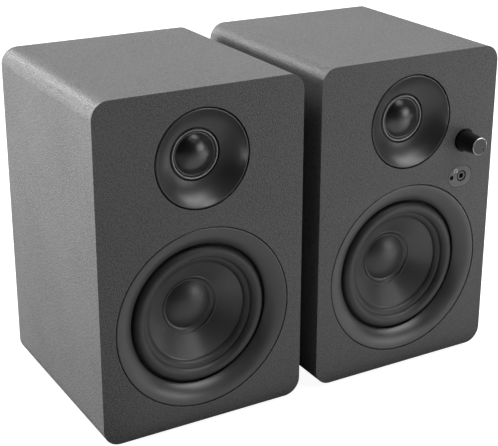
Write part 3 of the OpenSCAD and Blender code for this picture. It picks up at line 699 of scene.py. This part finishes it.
def led_lens(axis):
    """A small dark window, off while the speakers stand at rest."""
    look = Look("led_lens", (0.004, 0.004, 0.005), 0.25, specular=0.4, coat=0.15, coat_rough=0.1)
    look.tint(look.remap(look.noise(1 * MM, 2), 0.4, 0.7, 0, 0.4), (0.015, 0.015, 0.017))
    look.roughen(look.noise(2 * MM, 2), 0.06)
    look.bump(look.noise(1 * MM, 2), 0.003 * MM)
    return look


def panel_paint(axis):
    """Powder coat on steel: a fine leathery skin with painted shade in its hollows, worn a little at its edges."""
    look = Look("panel_paint", (0.022, 0.022, 0.023), 0.48, specular=0.45)
    look.soften(0.3 * MM)
    grains = look.cells(0.55 * MM)
    # Painted shade: the hollows between the skin's grains are darkened.
    look.tint(look.remap(grains, 0.2, 0.7, 0, 0.4), (0.012, 0.012, 0.013))
    look.tint(look.math("MULTIPLY", look.edges(0.4 * MM), 0.35), (0.25, 0.25, 0.25))
    look.tint(look.remap(look.noise(20 * MM, 4), 0.45, 0.7, 0, 0.3), (0.038, 0.038, 0.039))
    look.roughen(look.noise(6 * MM, 3), 0.12)
    look.bump(look.remap(grains, 0.15, 0.7, 1, 0), 0.05 * MM)
    return look


def transformer_iron(axis):
    """A stack of varnished laminations, with their edges showing as lines along the depth."""
    look = Look("transformer_iron", (0.2, 0.17, 0.12), 0.45, metal=0.6, coat=0.2)
    _, y, _ = look.split()
    sheets = look.math("ABSOLUTE", look.waves(y, 1 * MM))
    look.tint(look.remap(sheets, 0, 0.4, 0.8, 0), (0.06, 0.05, 0.035))
    look.tint(look.remap(look.noise(6 * MM, 4), 0.45, 0.7, 0, 0.5), (0.25, 0.14, 0.06))
    look.roughen(look.noise(3 * MM, 3), 0.2)
    look.bump(sheets, 0.06 * MM)
    return look


def switch_plastic(axis):
    return moulded("switch_plastic", (0.012, 0.012, 0.012), 0.28)


def inlet_plastic(axis):
    return moulded("inlet_plastic", (0.015, 0.015, 0.015), 0.5, 0.45, 0.03)


def print_white(axis):
    """Screen-printed ink: slightly uneven, with pinholes that let the plastic show."""
    look = Look("print_white", (0.72, 0.72, 0.71), 0.55)
    look.tint(look.remap(look.noise(0.25 * MM, 3), 0.6, 0.75, 0, 0.6), (0.3, 0.3, 0.3))
    look.roughen(look.noise(0.5 * MM, 2), 0.15)
    look.bump(look.noise(0.2 * MM, 2), 0.004 * MM)
    return look


def insulator(name, colour):
    """The coloured collar inside an audio socket."""
    look = moulded(name, colour, 0.35)
    look.tint(look.remap(look.noise(1.2 * MM, 3), 0.5, 0.75, 0, 0.3), scaled(colour, 0.6))
    return look


def axis_of(node):
    """Where the axis along Y of a turned node passes, as (x, z)."""
    low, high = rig.box(node)
    return ((low.x + high.x) / 2, (low.z + high.z) / 2)


TURNED_SLOTS = ("surround_rubber", "cone_plastic", "knob_metal")


def dress_frame():
    """Gives every CAD node the material of its slot, centred on the node's own axis if it is a turned one."""
    made = {}
    for part in frame["record"]["subparts"]:
        slot, node = part["material_slot"], part["node"]
        axis = axis_of(node) if slot in TURNED_SLOTS else None
        if (slot, axis) not in made:
            made[slot, axis] = globals()[slot](axis).material
        mesh = frame["nodes"][node].data
        mesh.materials.clear()
        mesh.materials.append(made[slot, axis])


# ---- Piece kit ----


def new_piece(name, mesh, material):
    mesh.materials.append(material)
    piece = bpy.data.objects.new(name, mesh)
    bpy.context.scene.collection.objects.link(piece)
    return piece


def lathe(name, profile, axis, material, steps=160):
    """Turns a closed profile of (radius, y) about the axis along Y through (x, z)."""
    shape = bmesh.new()
    rings = []
    for step in range(steps):
        a = 2 * math.pi * step / steps
        rings.append([
            shape.verts.new((axis[0] + r * math.cos(a), y, axis[1] + r * math.sin(a))) for r, y in profile
        ])
    count = len(profile)
    for step in range(steps):
        here, there = rings[step], rings[(step + 1) % steps]
        for i in range(count):
            j = (i + 1) % count
            shape.faces.new((here[i], here[j], there[j], there[i]))
    bmesh.ops.recalc_face_normals(shape, faces=shape.faces)
    for face in shape.faces:
        face.smooth = True
    mesh = bpy.data.meshes.new(name)
    shape.to_mesh(mesh)
    shape.free()
    return new_piece(name, mesh, material)


def thick_line(points, half):
    """A closed profile around an open line of (radius, y), half thick on either side of it."""
    sides = ([], [])
    for i, (r, y) in enumerate(points):
        before, after = points[max(i - 1, 0)], points[min(i + 1, len(points) - 1)]
        dr, dy = after[0] - before[0], after[1] - before[1]
        length = math.hypot(dr, dy)
        for sign, side in zip((1, -1), sides):
            side.append((r - sign * dy / length * half, y + sign * dr / length * half))
    return sides[0] + sides[1][::-1]


def flex(piece, fixed_body, moving_body, axis, moving_r, fixed_r):
    """Lets a turned piece bend: it moves fully inside moving_r and not at all past fixed_r."""
    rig.blend(piece, fixed_body, moving_body, start=tuple(cad_low), end=tuple(cad_high))
    shares = []
    for vertex in piece.data.vertices:
        r = math.hypot(vertex.co.x - axis[0], vertex.co.z - axis[1])
        t = min(1.0, max(0.0, (fixed_r - r) / (fixed_r - moving_r)))
        shares.append(t * t * (3 - 2 * t))
    piece.data.attributes["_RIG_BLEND"].data.foreach_set("value", shares)


def half_circle(centre_r, y, r, forward, steps=24):
    """Points on a half circle from its outer end to its inner one, bulging to the front or to the back."""
    sign = -1 if forward else 1
    angles = [math.pi * i / steps for i in range(steps + 1)]
    return [(centre_r + r * math.cos(a), y + sign * r * math.sin(a)) for a in angles]


def oval(radius, y, wide, thick, steps=16):
    """A closed oval profile, for a ring of that radius."""
    angles = [2 * math.pi * i / steps for i in range(steps)]
    return [(radius + wide * math.cos(a), y + thick * math.sin(a)) for a in angles]


# ---- Pieces ----

RUBBER_HALF = 0.38 * MM
ROLL_MID_R = 39.5 * MM
ROLL_R = 3.6 * MM
ROLL_BACK = 4.0 * MM  # from the roll's crest to its open side
FLANGE_BACK = 5.2 * MM  # from the roll's crest to the middle of the glued flange
INNER_LIP_R = 31.6 * MM
INNER_LIP_BACK = 5.85 * MM
INNER_LIP_STEP = (0.5 * MM, 0.1 * MM)  # inwards and backwards from the roll's open side
FLANGE_OUT_R = 48.2 * MM
SURROUND_MOVING_R = 36 * MM
SURROUND_FIXED_R = 43.4 * MM


def make_surround(side):
    """The rubber half roll between basket and cone, with its glued flange and its sloped inner lip."""
    node = f"{side}_woofer_surround"
    axis = axis_of(node)
    crest_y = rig.box(node)[0].y
    roll_y = crest_y + ROLL_BACK
    wall_r = ROLL_MID_R + ROLL_R
    flange_y = crest_y + FLANGE_BACK
    bend = 2 * RUBBER_HALF
    line = [(FLANGE_OUT_R, flange_y), (wall_r + bend, flange_y), (wall_r, flange_y - bend)]
    line += half_circle(ROLL_MID_R, roll_y, ROLL_R, forward=True)
    step_in, step_back = INNER_LIP_STEP
    line += [(ROLL_MID_R - ROLL_R - step_in, roll_y + step_back), (INNER_LIP_R, crest_y + INNER_LIP_BACK)]
    material = surround_rubber(axis).material
    piece = lathe(f"{side}_surround_rubber", thick_line(line, RUBBER_HALF), axis, material)
    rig.replaces(piece, node)
    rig.slot(piece, "surround_rubber")
    cone = f"{side}_woofer_cone_assembly"
    flex(piece, f"{side}_speaker", cone, axis, SURROUND_MOVING_R, SURROUND_FIXED_R)


WAVE_R = 1.6 * MM
WAVES = 5
SPIDER_HALF = 0.24 * MM
SPIDER_FOOT_R = 13.2 * MM
SPIDER_FOOT_H = 1.4 * MM
SPIDER_OUT_R = 33.2 * MM
SPIDER_MOVING_R = 13.5 * MM
SPIDER_FIXED_R = 29 * MM


def make_spider(side):
    """The corrugated cloth disc that centres the voice coil."""
    node = f"{side}_woofer_spider"
    axis = axis_of(node)
    low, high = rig.box(node)
    middle_y = (low.y + high.y) / 2
    line = [(SPIDER_OUT_R, middle_y)]
    for wave in reversed(range(WAVES)):
        centre_r = SPIDER_FOOT_R + (2 * wave + 1) * WAVE_R
        line += half_circle(centre_r, middle_y, WAVE_R, forward=wave % 2 == 0, steps=12)[:-1]
    line += [(SPIDER_FOOT_R, middle_y), (SPIDER_FOOT_R, middle_y - SPIDER_FOOT_H)]
    material = spider_fabric(axis).material
    piece = lathe(f"{side}_spider_cloth", thick_line(line, SPIDER_HALF), axis, material)
    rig.replaces(piece, node)
    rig.slot(piece, "spider_fabric")
    cone = f"{side}_woofer_cone_assembly"
    flex(piece, f"{side}_speaker", cone, axis, SPIDER_MOVING_R, SPIDER_FIXED_R)


CONE_NECK_R = 12.9 * MM
CONE_SLOPE = 0.78
CONE_THICK = 0.9 * MM
BEAD_R = 18.6 * MM
BEAD_WIDE = 0.55 * MM
BEAD_THICK = 0.4 * MM


def make_cone_bead(side, material):
    """The bead of glue around the dust cap's flange."""
    node = f"{side}_woofer_cone"
    axis = axis_of(node)
    bead_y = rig.box(node)[1].y - CONE_THICK - (BEAD_R - CONE_NECK_R) * CONE_SLOPE
    piece = lathe(f"{side}_cone_bead", oval(BEAD_R, bead_y, BEAD_WIDE, BEAD_THICK), axis, material)
    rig.ride(piece, f"{side}_woofer_cone_assembly")
    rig.slot(piece, "cap_plastic")


RCA_IN = 6 * MM  # from the sockets' outline to their axes
COLLAR_R = 2.5 * MM
COLLAR_WIDE = 0.75 * MM
COLLAR_DEEP = 0.3 * MM
COLLAR_SUNK = 0.02 * MM  # below the sockets' ends


def make_collars():
    """The coloured insulating collars in the two audio sockets, white above red."""
    low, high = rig.box("rca_jacks")
    x = (low.x + high.x) / 2
    y = high.y - COLLAR_DEEP - COLLAR_SUNK
    colours = {"white": ((0.6, 0.6, 0.58), high.z - RCA_IN), "red": ((0.45, 0.015, 0.02), low.z + RCA_IN)}
    for name, (colour, z) in colours.items():
        material = insulator(f"{name}_insulator", colour).material
        piece = lathe(f"{name}_collar", oval(COLLAR_R, y, COLLAR_WIDE, COLLAR_DEEP), (x, z), material)
        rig.ride(piece, "right_speaker")


ICON_IN = (5.7 * MM, 2.9 * MM)  # from the control plate's left and top to the middle of the headphone mark
BAND_R = 0.95 * MM
BAND_WIDE = 0.5 * MM
BAND_STEPS = 16
PAD = (0.95 * MM, 1.3 * MM)
PAD_IN = 0.15  # how far a pad sits inwards of the band's end, as a share of its width
INK_THICK = 0.03 * MM


def flat_strip(shape, points, y):
    """Adds a thin raised strip; points are (left, right) pairs of (x, z) along it."""
    layers = []
    for depth in (y, y - INK_THICK):
        layers.append([[shape.verts.new((x, depth, z)) for x, z in pair] for pair in points])
    back, front = layers
    for i in range(len(points) - 1):
        for row, flip in ((front, False), (back, True)):
            quad = (row[i][0], row[i][1], row[i + 1][1], row[i + 1][0])
            shape.faces.new(quad[::-1] if flip else quad)
        for k in (0, 1):
            shape.faces.new((back[i][k], back[i + 1][k], front[i + 1][k], front[i][k]))
    for i in (0, -1):
        shape.faces.new((back[i][0], back[i][1], front[i][1], front[i][0]))


def make_headphone_mark():
    """A plain printed mark of a pair of headphones beside the socket."""
    low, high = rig.box("control_plate")
    x, y, z = low.x + ICON_IN[0], low.y, high.z - ICON_IN[1]
    shape = bmesh.new()
    band = []
    for i in range(BAND_STEPS + 1):
        a = math.pi * i / BAND_STEPS
        band.append([(x + r * math.cos(a), z + r * math.sin(a)) for r in (BAND_R, BAND_R + BAND_WIDE)])
    flat_strip(shape, band, y)
    for sign in (-1, 1):
        middle = x + sign * (BAND_R + BAND_WIDE / 2 - PAD[0] * PAD_IN)
        left, right = middle - PAD[0] / 2, middle + PAD[0] / 2
        flat_strip(shape, [[(left, z - PAD[1]), (right, z - PAD[1])], [(left, z), (right, z)]], y)
    bmesh.ops.recalc_face_normals(shape, faces=shape.faces)
    mesh = bpy.data.meshes.new("headphone_mark")
    shape.to_mesh(mesh)
    shape.free()
    piece = new_piece("headphone_mark", mesh, print_white(None).material)
    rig.ride(piece, "right_speaker")


def write_size():
    visual_low, visual_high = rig.bounds()
    sizes = {"cad": [list(cad_low), list(cad_high)], "visual": [list(visual_low), list(visual_high)]}
    with open("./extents.json", "w") as file:
        json.dump(sizes, file)


make_camera()
make_light()
make_floor()
dress_frame()
glue = cap_plastic(None).material
for side in SIDES:
    make_surround(side)
    make_spider(side)
    make_cone_bead(side, glue)
make_collars()
make_headphone_mark()
write_size()
